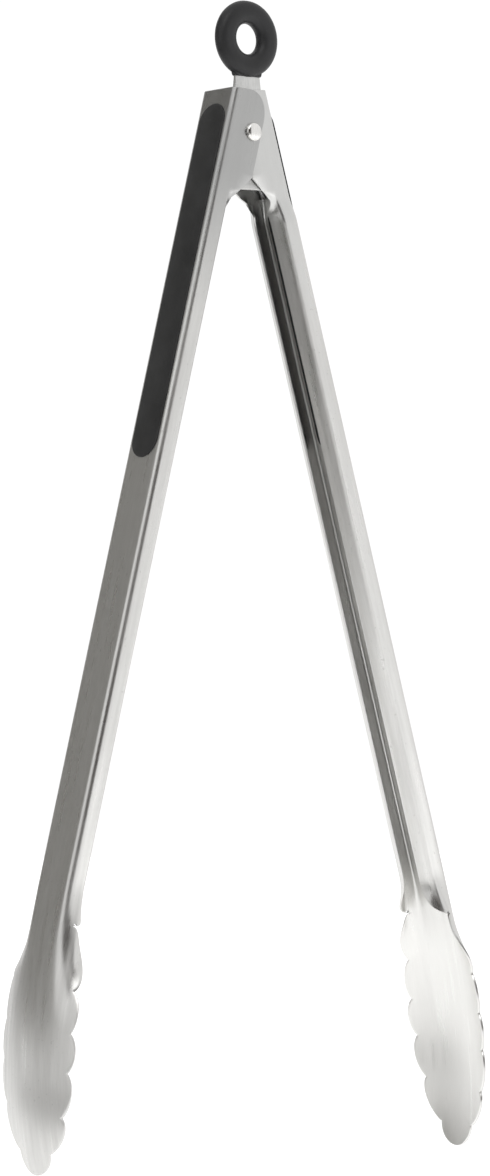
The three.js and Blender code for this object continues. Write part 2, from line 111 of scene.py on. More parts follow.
RIVET_HOLE = 2.3
SHANK_RADIUS = 2.0
RIVET_HEAD_RADIUS = 3.1
WASHER_RADIUS = 4.0
GRIP_START = -7.0
GRIP_END = 118.4
GRIP_WIDTH = 13.2
SLOT = (30.0, 110.0)
SLOT_WIDTH = 7.0
RETAINER_WIDTH = 10.4
GAP = 0.3
SLEEVE_INNER = 2.3
SLEEVE_OUTER = 2.85
SLEEVE_FRONT = -4.7
SLEEVE_BACK = 6.2
WIRE_RADIUS = 0.65
COIL_RADIUS = 3.9
COIL_TURNS = 4
COIL_PITCH = 1.62
COIL_FRONT = -1.85
SPRING_LEG_S = 22.0
PLATE_THICKNESS = 1.2
PLATE_HALF_WIDTH = 5.5
NECK_HALF_WIDTH = 5.3
NECK_WIDEST = 5.9
HOOK_OUTER = 8.4
HOOK_INNER = 7.3
HOOK_TOP_Z = -15.3
PLATE_BASE_TOP_Z = -17.0
PLATE_BOTTOM_Z = -19.3
CATCH_FRONT = -6.2
CATCH_BACK = -3.6
CATCH_TIP_X = 5.9
CATCH_LIP = 1.0
CATCH_TOP_Z = -5.5
CATCH_BAR_BOTTOM_Z = -6.4
CATCH_BOTTOM_Z = -8.6
CATCH_WINDOW_BOTTOM_Z = -12.4
RING_HEIGHT = 31.9
RING_RADIUS = 9.1
RING_HALF_WIDTH = 3.9
RING_HALF_THICKNESS = 2.83        # just inside the frame's 2.9
LOCK_TRAVEL = 8.0

MM = 0.001
sleeve_low, sleeve_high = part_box("pivot_sleeve")
PIN = Vector(((sleeve_low.x + sleeve_high.x) / 2, sleeve_low.y - SLEEVE_FRONT * MM,
              (sleeve_low.z + sleeve_high.z) / 2))


# ---- small maths ----
def smoothstep(x, low, high):
    u = np.clip((x - low) / (high - low), 0, 1)
    return u * u * (3 - 2 * u)


def lerp(a, b, u):
    return a + (b - a) * u


def to_row(points, side=0):
    """Points beside the rivet in millimetres, to metres of the row frame.

    side is -1 or 1 for points given along the left or the right arm, and 0 for the rest.
    """
    p = np.asarray(points, float)
    angle = -side * OPEN_ANGLE
    x = p[:, 0] * math.cos(angle) + p[:, 2] * math.sin(angle)
    z = -p[:, 0] * math.sin(angle) + p[:, 2] * math.cos(angle)
    return np.stack([x, p[:, 1], z], 1) * MM + np.array(PIN)


# ---- mesh helpers ----
def new_object(name, points, faces, uv=None, sharp=35):
    mesh = bpy.data.meshes.new(name)
    mesh.from_pydata([tuple(p) for p in points], [], faces)
    if uv is not None:
        layer = mesh.uv_layers.new(name="sheet")
        index = np.zeros(len(mesh.loops), np.int32)
        mesh.loops.foreach_get("vertex_index", index)
        layer.data.foreach_set("uv", np.asarray(uv, np.float32)[index].ravel())
    mesh.validate()
    obj = bpy.data.objects.new(name, mesh)
    bpy.context.scene.collection.objects.link(obj)
    smooth(obj, sharp)
    return obj


def smooth(obj, angle):
    obj.data.shade_smooth()
    obj.data.set_sharp_from_angle(angle=math.radians(angle))


def apply_modifiers(obj):
    bpy.context.view_layer.update()
    graph = bpy.context.evaluated_depsgraph_get()
    mesh = bpy.data.meshes.new_from_object(obj.evaluated_get(graph))
    mesh.name = obj.name
    obj.modifiers.clear()
    obj.data = mesh
    return obj


def loft(loops, closed=True, cap=True):
    """Faces between loops of the same length, given as one point list after another."""
    count = len(loops[0])
    points = [p for loop in loops for p in loop]
    faces = []
    for i in range(len(loops) - 1):
        for j in range(count if closed else count - 1):
            k = (j + 1) % count
            a, b = i * count + j, i * count + k
            faces.append((a, b, b + count, a + count))
    if cap:
        faces.append(tuple(reversed(range(count))))
        last = (len(loops) - 1) * count
        faces.append(tuple(range(last, last + count)))
    return points, faces


def box_mesh(x0, x1, y0, y1, z0, z1):
    xs, ys, zs = sorted((x0, x1)), sorted((y0, y1)), sorted((z0, z1))
    ring = [(0, 0), (1, 0), (1, 1), (0, 1)]
    loops = [[(xs[i], ys[j], z) for i, j in ring] for z in zs]
    return loft(loops)


def cutter(points, faces, side=0):
    return new_object("cutter", to_row(points, side), faces)


def cut(obj, cutters):
    for tool in cutters:
        modifier = obj.modifiers.new("cut", "BOOLEAN")
        modifier.operation = "DIFFERENCE"
        modifier.solver = "EXACT"
        modifier.object = tool
    apply_modifiers(obj)
    for tool in cutters:
        bpy.data.objects.remove(tool)
    return obj


def bevelled(obj, width):
    modifier = obj.modifiers.new("edges", "BEVEL")
    modifier.width = width * MM
    modifier.segments = 2
    modifier.limit_method = "ANGLE"
    modifier.angle_limit = math.radians(35)
    apply_modifiers(obj)
    smooth(obj, 50)
    return obj


def joined(obj, others):
    """The same object with the other objects' faces added to its mesh."""
    with bpy.context.temp_override(active_object=obj, selected_editable_objects=[obj, *others]):
        bpy.ops.object.join()
    return obj


def lathe(name, profile, segments=96):
    """A profile of (radius, y) points, closed on itself or on the axis, turned about the rivet."""
    loops = []
    for k in range(segments):
        a = 2 * math.pi * k / segments
        loops.append([(r * math.cos(a), y, r * math.sin(a)) for r, y in profile])
    loops.append(loops[0])
    points, faces = loft(loops, closed=profile[0] == profile[-1], cap=False)
    obj = new_object(name, to_row(points), faces, sharp=40)
    modifier = obj.modifiers.new("weld", "WELD")
    modifier.merge_threshold = 1e-6
    apply_modifiers(obj)
    smooth(obj, 40)
    return obj


def arc(cx, cy, radius, start, end, steps):
    angles = np.radians(np.linspace(start, end, steps + 1))
    return [(cx + radius * math.cos(a), cy + radius * math.sin(a)) for a in angles]


def tube(name, path, radius, sides=14, side=0, domed=True):
    """A round wire along a path, with rounded ends."""
    path = np.asarray(path, float)
    tangents = np.gradient(path, axis=0)
    tangents /= np.linalg.norm(tangents, axis=1)[:, None]
    normal = np.cross(tangents[0], (0.1, 0.9, 0.3))
    loops = []
    for k, (point, tangent) in enumerate(zip(path, tangents)):
        normal = normal - tangent * normal.dot(tangent)
        normal /= np.linalg.norm(normal)
        other = np.cross(tangent, normal)
        ring = []
        for j in range(sides):
            a = 2 * math.pi * j / sides
            ring.append(normal * math.cos(a) + other * math.sin(a))
        ends = [(0, 1.0)]
        if domed and k == 0:
            ends = [(-0.95, 0.3), (-0.75, 0.66), (-0.4, 0.92), (0, 1.0)]
        if domed and k == len(path) - 1:
            ends = [(0, 1.0), (0.4, 0.92), (0.75, 0.66), (0.95, 0.3)]
        for along, share in ends:
            centre = point + tangent * along * radius
            loops.append([centre + r * radius * share for r in ring])
    points, faces = loft(loops)
    return new_object(name, to_row(points, side), faces, sharp=60)


# ---- arm sheet ----
def channel_stops(half_width):
    bend = CORNER_RADIUS - SHEET / 2
    web_end = half_width - SHEET / 2 - bend
    corner_end = web_end + bend * math.pi / 2
    fold_run = FOLD_RADIUS * math.tan(LIP_BEND / 2)
    flange_end = corner_end + FLANGE_DEPTH - SHEET / 2 - bend - fold_run
    fold_end = flange_end + FOLD_RADIUS * LIP_BEND
    return web_end, corner_end, flange_end, fold_end, fold_end + LIP_LENGTH - fold_run


def lobed_edge(s):
    """Half width of the flat sheet in the head, below the relief."""
    if s <= NOTCHES[0]:
        u = (s - FLANGE_END) / (NOTCHES[0] - FLANGE_END)
        line = lerp(FLANGE_END_V + 0.9, NOTCH_HALF_WIDTHS[0], math.sqrt(max(u, 0)))
        late = max(u, 0) ** 1.7
        return line + LOBE_HEIGHT * max(4 * late * (1 - late), 0) ** 0.8
    if s >= NOTCHES[-1]:
        down = (s - NOTCHES[-1]) / TIP_RADIUS
        return max(TIP_RADIUS * math.sqrt(max(1 - down * down, 0)), 0.4)
    i = max(k for k in range(len(NOTCHES) - 1) if s >= NOTCHES[k])
    u = (s - NOTCHES[i]) / (NOTCHES[i + 1] - NOTCHES[i])
    line = lerp(NOTCH_HALF_WIDTHS[i], NOTCH_HALF_WIDTHS[i + 1], u)
    return line + LOBE_HEIGHT * (1 + LOBE_GROWTH * i) * max(4 * u * (1 - u), 0) ** 0.75


def edge_at(s, lift, stops):
    """Half width of the flat sheet at a station, all the way down the arm."""
    ear_side = stops[1] + WEB_OFFSET - CORNER_RADIUS
    if lift > 0:
        return ear_side + lerp(EAR_TOP_X, EAR_EDGE, math.sqrt(1 - lift * lift))
    if s <= EAR_SHOULDER:
        return ear_side + EAR_EDGE
    if s <= EAR_END:
        down = (s - EAR_SHOULDER) / (EAR_END - EAR_SHOULDER)
        return ear_side + lerp(EAR_EDGE, EAR_END_X, down)
    if s <= LIP_END:
        return lerp(ear_side + EAR_END_X, stops[4], float(smoothstep(s, LIP_START, LIP_FULL)))
    if s <= FLANGE_END:
        down = (s - LIP_END) / (FLANGE_END - LIP_END)
        return lerp(FLANGE_END_V, stops[4], math.sqrt(max(1 - down * down, 0)))
    return lobed_edge(s)


def spine_table():
    length = ARM_LENGTH - HEAD_BEND_START
    run = np.linspace(0, length + 3, 600)
    lean = HEAD_BEND * (run / length) ** HEAD_BEND_POWER
    step = run[1] - run[0]
    x = np.concatenate([[0], np.cumsum((np.sin(lean[1:]) + np.sin(lean[:-1])) / 2 * step)])
    z = np.concatenate([[0], np.cumsum((np.cos(lean[1:]) + np.cos(lean[:-1])) / 2 * step)])
    return run, lean, x, z


def stations():
    """Rows down the arm: station, lift of the ears' round top, its edge lift, thickness, drop."""
    top = EAR_ROUND - EAR_TOP
    rows = [(top, 1.0, 0.998, 0.45, 0.0), (top, 1.0, 0.99, 0.82, 0.07), (top, 1.0, 0.975, 1, 0.26)]
    for angle in range(16, 90, 3):
        lift = math.cos(math.radians(angle))
        rows.append((top, lift, lift, 1, 0))
    straight = [*np.linspace(top, EAR_SHOULDER - 1, 12), *np.linspace(EAR_SHOULDER, EAR_END, 14)]
    straight += [*np.linspace(EAR_END + 0.3, 36, 24), *np.linspace(40, 250, 43)]
    straight += [*np.linspace(252, LIP_END - 0.5, 18)]
    relief = [lerp(LIP_END, FLANGE_END, math.sin(k / 16 * math.pi / 2)) for k in range(17)]
    shoulder = [lerp(FLANGE_END, NOTCHES[0], u) for u in np.linspace(0.02, 1, 26)[:-1]]
    lobes = []
    for a, b in zip(NOTCHES, NOTCHES[1:]):
        for u in np.linspace(0, 1, 19)[:-1]:
            lobes.append(lerp(a, b, (1 - math.cos(u * math.pi)) / 2))
    tip = [NOTCHES[-1] + TIP_RADIUS * math.sin(k / 20 * math.pi / 2) for k in range(21)]
    for s in [*straight, *relief, *shoulder, *lobes, *tip]:
        rows.append((s, 0, 0, 1, 0))
    return rows


def sheet_section(edge, stops, spread):
    """(v, n) round the sheet's section, n being the offset from its middle."""
    web_end, corner_end, flange_end, fold_end = stops[:4]
    bends = [*np.linspace(0, web_end, 4)[:-1], *np.linspace(web_end, corner_end, 8)[:-1],
             *np.linspace(corner_end, flange_end, 4)[:-1],
             *np.linspace(flange_end, fold_end, 7)[:-1], fold_end, fold_end + 1.5]
    last = len(bends)
    inner = edge - min(EDGE_ROUND, edge / 2)
    half = [lerp(min(b, inner - 0.02 * (last - j)), inner * j / last, spread)
            for j, b in enumerate(bends)] + [inner]
    half = [max(v, 0) if j else 0 for j, v in enumerate(half)]
    flat = [-v for v in reversed(half[1:])] + half
    t, r = SHEET / 2, EDGE_ROUND
    rim = [(edge - 0.29 * r, -t + 0.29 * r), (edge, -t + r), (edge, t - r),
           (edge - 0.29 * r, t - 0.29 * r)]
    loop = [(v, -t) for v in flat] + rim + [(v, t) for v in reversed(flat)]
    return loop + [(-v, n) for v, n in reversed(rim)]


def arm_sheet(name, side):
    """The whole pressed arm as one sheet with rounded edges."""
    rows = stations()
    s_row, lift, v, n, edge, drop, stops_row = [], [], [], [], [], [], []
    for s, z_lift, edge_lift, thick, fall in rows:
        out = float(smoothstep(s, *JOGGLE))
        width = lerp(NESTED_WIDTH, CHANNEL_WIDTH, out) if side > 0 else CHANNEL_WIDTH
        stops = channel_stops(width / 2)
        e = edge_at(s, edge_lift, stops)
        spread = float(smoothstep(s, LIP_END, DISH_FULL))
        loop = sheet_section(e, stops, spread)
        s_row.append(s)
        lift.append(z_lift)
        edge.append(e)
        drop.append(fall)
        stops_row.append(stops[:4])
        v.append([p[0] for p in loop])
        n.append([p[1] * thick for p in loop])
    s_row, lift, edge, drop = (np.array(a)[:, None] for a in (s_row, lift, edge, drop))
    v, n = np.array(v), np.array(n)
    stops_row = np.array(stops_row)
    grows = smoothstep(s_row, FLANGE_END, NOTCHES[0])
    stagger = LOBE_STAGGER * grows * (1 - smoothstep(s_row, NOTCHES[3], ARM_LENGTH))
    s = s_row - stagger * v / edge

    narrow = np.clip((s - DISH_WIDEST) / (ARM_LENGTH + 4 - DISH_WIDEST), 0, 1)
    reach = DISH_REACH * np.sqrt(1 - narrow ** 2.6)

    def turn_at(part):
        corner = np.clip((part - stops_row[:, :1]) / (stops_row[:, 1:2] - stops_row[:, :1]), 0, 1)
        fold = (part - stops_row[:, 2:3]) / (stops_row[:, 3:4] - stops_row[:, 2:3])
        folded = smoothstep(s, EAR_END - 3, LIP_FULL)
        channel = corner * math.pi / 2 + np.clip(fold, 0, 1) * folded * LIP_BEND
        down = np.clip((s - DISH_FULL) / (ARM_LENGTH - DISH_FULL), 0, 1)
        dish = lerp(DISH_ANGLE, DISH_TIP_ANGLE, down) * part / reach
        out = smoothstep(part, stops_row[:, :1], stops_row[:, 1:2] + 3)
        full = lerp(DISH_FULL, np.where(v < 0, FRONT_WALL_FADE[side], BACK_WALL_FADE), out)
        return lerp(channel, dish, smoothstep(s, DISH_START, full))

    steps = 48
    across = np.abs(v)
    x = np.zeros_like(v)
    y = np.zeros_like(v)
    for k in range(steps):
        turn = turn_at(across * (k + 0.5) / steps)
        x += np.sin(turn) * across / steps
        y += np.cos(turn) * across / steps
    turn = turn_at(across)
    run, lean, bend_x, bend_z = spine_table()
    past = np.maximum(s - HEAD_BEND_START, 0)
    lean = np.interp(past, run, lean)
    spine_x = SHEET / 2 - WEB_OFFSET + np.interp(past, run, bend_x)
    spine_z = -np.minimum(s, HEAD_BEND_START) - np.interp(past, run, bend_z)
    depth = x + n * np.cos(turn)
    swept = np.clip((s - HEAD_SWEEP_START) / (ARM_LENGTH - HEAD_SWEEP_START), 0, 1)
    width = (y - n * np.sin(turn)) * np.sign(v) - HEAD_SWEEP * swept ** 2.2
    inward = spine_x + depth * np.cos(lean)
    z = spine_z + depth * np.sin(lean)
    top = EAR_TOP + (inward - EAR_TOP_X) * math.tan(EAR_TOP_TILT)
    z = np.where(lift > 0, lerp(z, top, lift), z) - drop
    count = v.shape[1]
    points = np.stack([-side * inward, width, z], 2).reshape(-1, 3)
    uv = np.stack([v / 100 + 0.25 + (n > 0) * 0.5, s / 400 + 0.05], 2).reshape(-1, 2)
    loops = list(range(len(rows)))
    faces = []
    for i in loops[:-1]:
        for j in range(count):
            k = (j + 1) % count
            quad = (i * count + j, i * count + k, (i + 1) * count + k, (i + 1) * count + j)
            faces.append(quad if side < 0 else quad[::-1])
    ends = [tuple(reversed(range(count))), tuple(range(loops[-1] * count, len(points)))]
    faces += ends if side < 0 else [e[::-1] for e in ends]
    return new_object(name, to_row(points, side), faces, uv=uv, sharp=38)


def relief_slit(side, across):
    run, angle = 6.5, side * math.radians(42)
    points, faces = box_mesh(-run / 2, run / 2, -5, 5, -0.4, 0.4)
    p = np.array(points)
    x = p[:, 0] * math.cos(angle) - p[:, 2] * math.sin(angle)
    z = p[:, 0] * math.sin(angle) + p[:, 2] * math.cos(angle)
    moved = np.stack([x + side * (WEB_OFFSET - 7.2), p[:, 1] + across * 11.6,
                      z - FLANGE_END - 1.2], 1)
    return cutter(moved, faces, side)


def round_hole(radius, half_length, sides=64):
    loops = []
    for y in (-half_length, half_length):
        angles = [2 * math.pi * k / sides for k in range(sides)]
        loops.append([(radius * math.cos(a), y, radius * math.sin(a)) for a in angles])
    return cutter(*loft(loops))


def catch(side):
    """The catch lanced from the web for the lock plate's hook."""
    far, tip = side * (WEB_OFFSET - 0.4), side * CATCH_TIP_X
    lip = side * (CATCH_TIP_X + CATCH_LIP)
    pieces = []
    for name, x, top, bottom in (("catch_bar", far, CATCH_TOP_Z, CATCH_BAR_BOTTOM_Z),
                                 ("catch_lip", lip, CATCH_TOP_Z - 0.1, CATCH_BOTTOM_Z)):
        points, faces = box_mesh(x, tip, CATCH_FRONT, CATCH_BACK, top, bottom)
        pieces.append(bevelled(new_object(name, to_row(points, side), faces), 0.2))
    return pieces


def build_arm(name, side):
    arm = arm_sheet(name + "_arm_sheet", side)
    outside, inside = side * (WEB_OFFSET + 1), side * (WEB_OFFSET - SHEET - 1)
    slot = cutter(*box_mesh(outside, inside, -SLOT_WIDTH / 2, SLOT_WIDTH / 2, -SLOT[0], -SLOT[1]),
                  side)
    window = cutter(*box_mesh(outside, inside, CATCH_FRONT, CATCH_BACK, CATCH_BAR_BOTTOM_Z,
                              CATCH_WINDOW_BOTTOM_Z), side)
    cut(arm, [round_hole(RIVET_HOLE, 15), relief_slit(side, -1), relief_slit(side, 1), slot,
              window])
    smooth(arm, 38)
    return joined(arm, catch(side))


# ---- rubber and plastic tongues ----
def stadium(half_width, start, end, inset, arc_steps=28, side_steps=60):
    """A tongue's outline moved inwards, as (y, z) points."""
    r = max(half_width - inset, 0.01)
    top, bottom = -start - half_width, -end + half_width
    ring = [(r * math.cos(a), top + r * math.sin(a))
            for a in np.linspace(0, math.pi, arc_steps + 1)]
    ring += [(-r, lerp(top, bottom, k / side_steps)) for k in range(1, side_steps)]
    ring += [(r * math.cos(a), bottom + r * math.sin(a))
             for a in np.linspace(math.pi, 2 * math.pi, arc_steps + 1)]
    ring += [(r, lerp(bottom, top, k / side_steps)) for k in range(1, side_steps)]
    return ring


def tongue(name, side, base, outwards, half_width, start, end, profile):
    """A crowned tongue on the web. profile gives (inset, height) from its foot to its crown."""
    loops = []
    for inset, height in profile:
        x = side * (base + outwards * height)
        ring = stadium(half_width, start, end, inset)
        loops.append([(x, y, z) for y, z in ring])
    points, faces = loft(loops)
    obj = new_object(name, to_row(points, side), faces, sharp=55)
    modifier = obj.modifiers.new("weld", "WELD")
    modifier.merge_threshold = 2e-6
    return apply_modifiers(obj)


def build_grip(name, side):
    profile = [(0.12, 0.0), (0.0, 0.08), (0.0, 0.18), (0.06, 0.28), (0.18, 0.35), (0.4, 0.4),
               (1.0, 0.47), (2.0, 0.57), (3.4, 0.68), (5.0, 0.76), (6.59, 0.79)]
    pad = tongue(name + "_grip_pad", side, WEB_OFFSET + 0.02, 1, GRIP_WIDTH / 2, GRIP_START,
                 GRIP_END, profile)
    smooth(pad, 60)
    rib_half = SLOT_WIDTH / 2 - GAP
    points, faces = box_mesh(side * (WEB_OFFSET + 0.3), side * (WEB_OFFSET - SHEET), -rib_half,
                             rib_half, -SLOT[0] - GAP, -SLOT[1] + GAP)
    rib = bevelled(new_object("rib", to_row(points, side), faces), 0.3)
    return joined(pad, [rib])


def build_retainer(name, side):
    profile = [(0.1, 0.0), (0.0, 0.1), (0.0, 0.7), (0.1, 0.9), (0.3, 1.03), (0.7, 1.1),
               (1.5, 1.16), (3.0, 1.2), (5.19, 1.22)]
    piece = tongue(name + "_grip_retainer_tongue", side, WEB_OFFSET - SHEET - 0.1, -1,
                   RETAINER_WIDTH / 2, SLOT[0] - 3, SLOT[1] + 3, profile)
    smooth(piece, 60)
    return piece


# ---- pivot ----
def build_rivet():
    front = -CHANNEL_WIDTH / 2 - 0.05
    back = CHANNEL_WIDTH / 2 + GAP + 0.6
    head = [(0.0, front - 1.55)]
    for a in np.linspace(6, 78, 14):
        r = RIVET_HEAD_RADIUS * math.sin(math.radians(a))
        head.append((r, front - 0.45 - 1.1 * math.cos(math.radians(a)) ** 0.8))
    head += [(3.08, front - 0.52), (3.14, front - 0.38), (3.14, front - 0.12), (3.02, front)]
    shank = [(SHANK_RADIUS, front), (SHANK_RADIUS, back)]
    tail = [(2.95, back), (3.1, back + 0.12), (3.1, back + 0.4), (2.95, back + 0.6)]
    tail += [(2.5, back + 0.9), (1.9, back + 1.1), (1.2, back + 1.2), (0.5, back + 1.16),
             (0.0, back + 1.14)]
    return lathe("rivet_body", head + shank + tail)


def build_washer():
    y0 = CHANNEL_WIDTH / 2 + 0.1
    r = 0.12
    inner, outer, y1 = RIVET_HOLE, WASHER_RADIUS, y0 + 0.72
    profile = [(inner, y0 + r), (inner + r, y0), (outer - r, y0), (outer, y0 + r),
               (outer, y1 - r), (outer - r, y1), (inner + r, y1), (inner, y1 - r),
               (inner, y0 + r)]
    return lathe("washer_disc", profile)


def build_sleeve():
    y0, y1, r = SLEEVE_FRONT, SLEEVE_BACK, 0.15
    inner, outer = SLEEVE_INNER, SLEEVE_OUTER
    profile = [(inner, y0 + r), (inner + r, y0), (outer - r, y0), (outer, y0 + r),
               (outer, y1 - r), (outer - r, y1), (inner + r, y1), (inner, y1 - r),
               (inner, y0 + r)]
    return lathe("sleeve_tube", profile)


def build_spring():
    reach = WEB_OFFSET - SHEET - GAP - WIRE_RADIUS
    x = reach * math.cos(OPEN_ANGLE) + SPRING_LEG_S * math.sin(OPEN_ANGLE)
    z = reach * math.sin(OPEN_ANGLE) - SPRING_LEG_S * math.cos(OPEN_ANGLE)
    leave = math.atan2(z, x) + math.acos(COIL_RADIUS / math.hypot(x, z))
    turns = COIL_TURNS * 2 * math.pi + math.pi - 2 * leave
    start = math.pi - leave
    coil_back = COIL_FRONT + COIL_PITCH * turns / (2 * math.pi)
    path = []
    for u in np.linspace(0, 1, 260):
        angle = start - turns * u
        y = lerp(COIL_FRONT, coil_back, u)
        path.append((COIL_RADIUS * math.cos(angle), y, COIL_RADIUS * math.sin(angle)))
    coil = tube("spring_coil", path, WIRE_RADIUS, domed=False)
    legs = []
    for side, y, name in ((-1, COIL_FRONT, "left"), (1, coil_back, "right")):
        touch = (side * COIL_RADIUS * math.cos(leave), COIL_RADIUS * math.sin(leave))
        foot = (side * x, z)
        line = [(lerp(touch[0], foot[0], u), y, lerp(touch[1], foot[1], u))
                for u in np.linspace(0, 1, 24)]
        toe = Vector((foot[0] - touch[0], 0, foot[1] - touch[1])).normalized()
        for k in range(1, 7):
            a = math.radians(k * 8)
            last = line[-1]
            line.append((last[0] + 0.45 * (toe.x * math.cos(a) - side * 0.5 * math.sin(a)), y,
                         last[2] + 0.45 * toe.z * math.cos(a)))
        legs.append(tube("spring_leg_" + name, line, WIRE_RADIUS))
    return coil, legs


# ---- lock plate and ring ----
def rounded(corners, steps=5):
    """A polygon of (x, z, radius) with its corners rounded."""
    out = []
    for i, (x, z, r) in enumerate(corners):
        here = Vector((x, z))
        before = Vector(corners[i - 1][:2]) - here
        after = Vector(corners[(i + 1) % len(corners)][:2]) - here
        reach = min(r, before.length * 0.45, after.length * 0.45)
        a, b = here + before.normalized() * reach, here + after.normalized() * reach
        for k in range(steps + 1):
            u = k / steps
            out.append(a * (1 - u) ** 2 + here * 2 * u * (1 - u) + b * u * u)
    return [(p.x, p.y) for p in out]


def build_lock_plate():
    side = [(NECK_HALF_WIDTH, 24, 0.3), (NECK_HALF_WIDTH, 19, 1.5), (NECK_WIDEST, 14, 1.5),
            (PLATE_HALF_WIDTH, 11, 1.5), (PLATE_HALF_WIDTH, PLATE_BASE_TOP_Z, 0.5),
            (HOOK_INNER, PLATE_BASE_TOP_Z, 0.5), (HOOK_INNER, HOOK_TOP_Z, 0.3),
            (HOOK_OUTER, HOOK_TOP_Z, 0.3), (HOOK_OUTER, PLATE_BOTTOM_Z, 0.8)]
    outline = rounded(side + [(-x, z, r) for x, z, r in reversed(side)])
    slot = arc(0, 0, RIVET_HOLE, 0, 180, 20) + arc(0, -LOCK_TRAVEL, RIVET_HOLE, 180, 360, 20)
    bevel = 0.2
    curve = bpy.data.curves.new("plate", "CURVE")
    curve.dimensions = "2D"
    curve.fill_mode = "BOTH"
    curve.extrude = (PLATE_THICKNESS / 2 - bevel) * MM
    curve.bevel_depth = bevel * MM
    curve.bevel_resolution = 2
    curve.offset = -bevel * MM
    for loop in (outline, slot):
        spline = curve.splines.new("POLY")
        spline.points.add(len(loop) - 1)
        for point, (x, z) in zip(spline.points, loop):
            point.co = (x * MM, z * MM, 0, 1)
        spline.use_cyclic_u = True
    source = bpy.data.objects.new("plate", curve)
    bpy.context.scene.collection.objects.link(source)
    bpy.context.view_layer.update()
    graph = bpy.context.evaluated_depsgraph_get()
    mesh = bpy.data.meshes.new_from_object(source.evaluated_get(graph))
    bpy.data.objects.remove(source)
    plate_low, plate_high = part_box("lock_plate")
    middle = (plate_low.y + plate_high.y) / 2
    turn = Matrix.Rotation(math.radians(90), 4, "X")
    mesh.transform(Matrix.Translation((PIN.x, middle, PIN.z)) @ turn)
    plate = bpy.data.objects.new("lock_plate_blade", mesh)
    bpy.context.scene.collection.objects.link(plate)
    modifier = plate.modifiers.new("weld", "WELD")
    modifier.merge_threshold = 1e-6
    apply_modifiers(plate)
    smooth(plate, 40)
    return plate


def build_ring():
    """The rubber cover: flattened oval section, a parting line round it and a boss at the neck."""
    low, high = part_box("ring_cover")
    plate_y = (low.y + high.y) / 2
    count, sides = 128, 48
    loops = []
    for i in range(count):
        a = 2 * math.pi * i / count
        loop = []
        for j in range(sides):
            b = 2 * math.pi * j / sides
            c, d = math.cos(b), math.sin(b)
            power = 2 / 2.35
            r = RING_RADIUS + RING_HALF_WIDTH * math.copysign(abs(c) ** power, c)
            y = RING_HALF_THICKNESS * math.copysign(abs(d) ** power, d)
            if j == 0:
                r += 0.09
            if j == sides // 2:
                r -= 0.07
            loop.append((r * math.sin(a), y, RING_HEIGHT + r * math.cos(a)))
        loops.append(loop)
    loops.append(loops[0])
    points, faces = loft(loops, cap=False)
    moved = to_row(points)
    moved[:, 1] += plate_y - PIN.y
    ring = new_object("ring_cover_rubber", moved, faces, sharp=60)
    modifier = ring.modifiers.new("weld", "WELD")
    modifier.merge_threshold = 1e-6
    apply_modifiers(ring)
    smooth(ring, 60)
    outline = rounded([(5.9, 22.5, 0.3), (5.9, 20.2, 0.5), (5.6, 19.1, 0.7), (-5.6, 19.1, 0.7),
                       (-5.9, 20.2, 0.5), (-5.9, 22.5, 0.3)], 3)
    boss_loops = []
    for y, inset in ((-1.3, 0.4), (-1.15, 0.15), (-0.9, 0), (0.9, 0), (1.15, 0.15), (1.3, 0.4)):
        boss_loops.append([(x * (1 - inset / 6), y, z + (0.0 if z > 20 else inset))
                           for x, z in outline])
    points, faces = loft(boss_loops)
    moved = to_row(points)
    moved[:, 1] += plate_y - PIN.y
    boss = new_object("boss", moved, faces, sharp=60)
    return joined(ring, [boss])


# ---- materials ----
def material(name):
    mat = bpy.data.materials.new(name)
    mat.use_nodes = True
    tree = mat.node_tree
    shader = tree.nodes["Principled BSDF"]
    return mat, tree, shader


def add(tree, kind, inputs=None, **settings):
    node = tree.nodes.new(kind)
    for key, value in settings.items():
        setattr(node, key, value)
    for key, value in (inputs or {}).items():
        if isinstance(value, bpy.types.NodeSocket):
            tree.links.new(value, node.inputs[key])
        else:
            node.inputs[key].default_value = value
    return node


def noise(tree, vector, scale, detail=3.0, rough=0.5, stretch=(1, 1, 1)):
    mapping = add(tree, "ShaderNodeMapping", {"Vector": vector, "Scale": stretch})
    made = add(tree, "ShaderNodeTexNoise", {"Vector": mapping.outputs["Vector"], "Scale": scale,
                                            "Detail": detail, "Roughness": rough})
    return made.outputs["Fac"]


def remap(tree, value, low, high, to_low, to_high):
    made = add(tree, "ShaderNodeMapRange", {"Value": value, "From Min": low, "From Max": high,
                                            "To Min": to_low, "To Max": to_high})
    return made.outputs["Result"]


def mixed(tree, factor, a, b):
    made = add(tree, "ShaderNodeMix", data_type="RGBA")
    for key, value in ((0, factor), (6, a), (7, b)):
        if isinstance(value, bpy.types.NodeSocket):
            tree.links.new(value, made.inputs[key])
        else:
            made.inputs[key].default_value = value
    return made.outputs[2]


def grey(r, g, b):
    return (r, g, b, 1.0)


def painted_shade_and_reflection_by_station(tree, place, tone, near, far):
    """Painted light by station: painted shade darkens the steel round the ears, and a painted
    reflection makes the inner face of the head paler.
    """
    split = add(tree, "ShaderNodeSeparateXYZ", {"Vector": place})
    along, across = split.outputs["Y"], split.outputs["X"]
    # Painted shade: the ears' steel is darkened towards the top of the arm.
    ears = remap(tree, along, 0.09, 0.22, 1.0, 0.0)
    tone = mixed(tree, ears, tone, near)
    # Painted reflection: the inner face of the head is made paler.
    inside = remap(tree, across, 0.499, 0.501, 0.0, 1.0)
    head = remap(tree, along, 0.69, 0.78, 0.0, 1.0)
    both = add(tree, "ShaderNodeMath", {0: inside, 1: head}, operation="MULTIPLY")
    return mixed(tree, both.outputs[0], tone, far)


